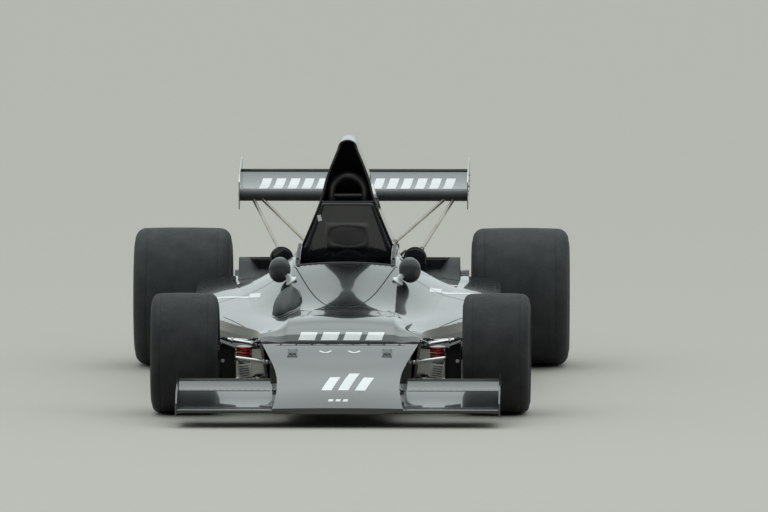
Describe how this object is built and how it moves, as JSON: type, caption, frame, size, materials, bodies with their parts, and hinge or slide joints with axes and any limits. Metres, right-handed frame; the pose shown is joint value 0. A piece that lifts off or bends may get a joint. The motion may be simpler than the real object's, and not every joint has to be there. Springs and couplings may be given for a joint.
{
  "type": "open wheel racing car",
  "caption": "Single seater open wheel racing car with tall air box, wide slick tyres, shovel nose with front wings, and a rear wing on stays.",
  "frame": {"origin": "middle of the bounding box at ground level, on the car's centre line", "axes": "nose to -Y, the car's left to +X, up +Z"},
  "size_m": [2.0798, 4.3, 1.1948],
  "materials": {
    "gloss_black": "gloss",
    "bare_metal": "satin",
    "radiator_core": "matt",
    "seat_cover": "matt",
    "dash_black": "matt",
    "steel_tube": "satin",
    "mirror_shell": "gloss",
    "cast_metal": "matt",
    "cover_black": "satin",
    "exhaust_steel": "satin",
    "spring_red": "gloss",
    "cast_dark": "matt",
    "rim_metal": "satin",
    "slick_rubber": "matt"
  },
  "bodies": {
    "chassis": {"tub": "bare_metal", "nose": "gloss_black", "front_wings": "gloss_black", "front_cowl": "gloss_black", "cockpit_surround": "gloss_black", "side_pods": "gloss_black", "radiators": "radiator_core", "radiator_hoods": "gloss_black", "shoulder_scoops": "gloss_black", "gear_blister": "gloss_black", "seat": "seat_cover", "dash_panel": "dash_black", "roll_hoop": "steel_tube", "airbox": "gloss_black", "mirrors": "mirror_shell", "engine_block": "cast_metal", "cam_covers": "cover_black", "gearbox": "cast_metal", "exhausts": "exhaust_steel", "rear_wing": "gloss_black", "wing_end_plates": "gloss_black", "wing_post": "bare_metal", "wing_stays": "steel_tube", "front_wishbones": "steel_tube", "front_springs": "spring_red", "rack_housing": "cast_metal", "rear_uprights": "cast_metal", "rear_links": "steel_tube", "rear_springs": "spring_red"},
    "rack": {"track_rods": "steel_tube"},
    "knuckle_left": {"knuckle_left": "cast_dark"},
    "knuckle_right": {"knuckle_right": "cast_dark"},
    "wheel_front_left": {"rim_front_left": "rim_metal", "tyre_front_left": "slick_rubber"},
    "wheel_front_right": {"rim_front_right": "rim_metal", "tyre_front_right": "slick_rubber"},
    "wheel_rear_left": {"rim_rear_left": "rim_metal", "tyre_rear_left": "slick_rubber", "half_shaft_left": "steel_tube"},
    "wheel_rear_right": {"rim_rear_right": "rim_metal", "tyre_rear_right": "slick_rubber", "half_shaft_right": "steel_tube"},
    "steering": {"steering_wheel": "dash_black"}
  },
  "joints": [
    {"name": "steer_left", "type": "hinge", "parent": "chassis", "child": "knuckle_left", "pos_m": [0.545, -1.36, 0.25], "axis": [0, 0, 1], "range_deg": [-16, 16]},
    {"name": "steer_right", "type": "hinge", "parent": "chassis", "child": "knuckle_right", "pos_m": [-0.545, -1.36, 0.25], "axis": [0, 0, 1], "range_deg": [-16.5, 16.5]},
    {"name": "rack_slide", "type": "slide", "parent": "chassis", "child": "rack", "axis": [1, 0, 0], "range_m": [-0.031, 0.031]},
    {"name": "steering_wheel_turn", "type": "hinge", "parent": "chassis", "child": "steering", "pos_m": [0, -0.16, 0.477], "axis": [0, 0.9617, 0.2741], "range_deg": [-195, 195]},
    {"name": "spin_front_left", "type": "hinge", "parent": "knuckle_left", "child": "wheel_front_left", "pos_m": [0.726, -1.36, 0.2815], "axis": [1, 0, 0], "continuous": true},
    {"name": "spin_front_right", "type": "hinge", "parent": "knuckle_right", "child": "wheel_front_right", "pos_m": [-0.726, -1.36, 0.2815], "axis": [1, 0, 0], "continuous": true},
    {"name": "spin_rear_left", "type": "hinge", "parent": "chassis", "child": "wheel_rear_left", "pos_m": [0.806, 1.307, 0.329], "axis": [1, 0, 0], "continuous": true},
    {"name": "spin_rear_right", "type": "hinge", "parent": "chassis", "child": "wheel_rear_right", "pos_m": [-0.806, 1.307, 0.329], "axis": [1, 0, 0], "continuous": true}
  ],
  "couplings": [
    {"joint": "steer_right", "follows": "steer_left", "ratio": 1},
    {"joint": "rack_slide", "follows": "steer_left", "m_per_rad": 0.109},
    {"joint": "steering_wheel_turn", "follows": "steer_left", "ratio": 12}
  ]
}
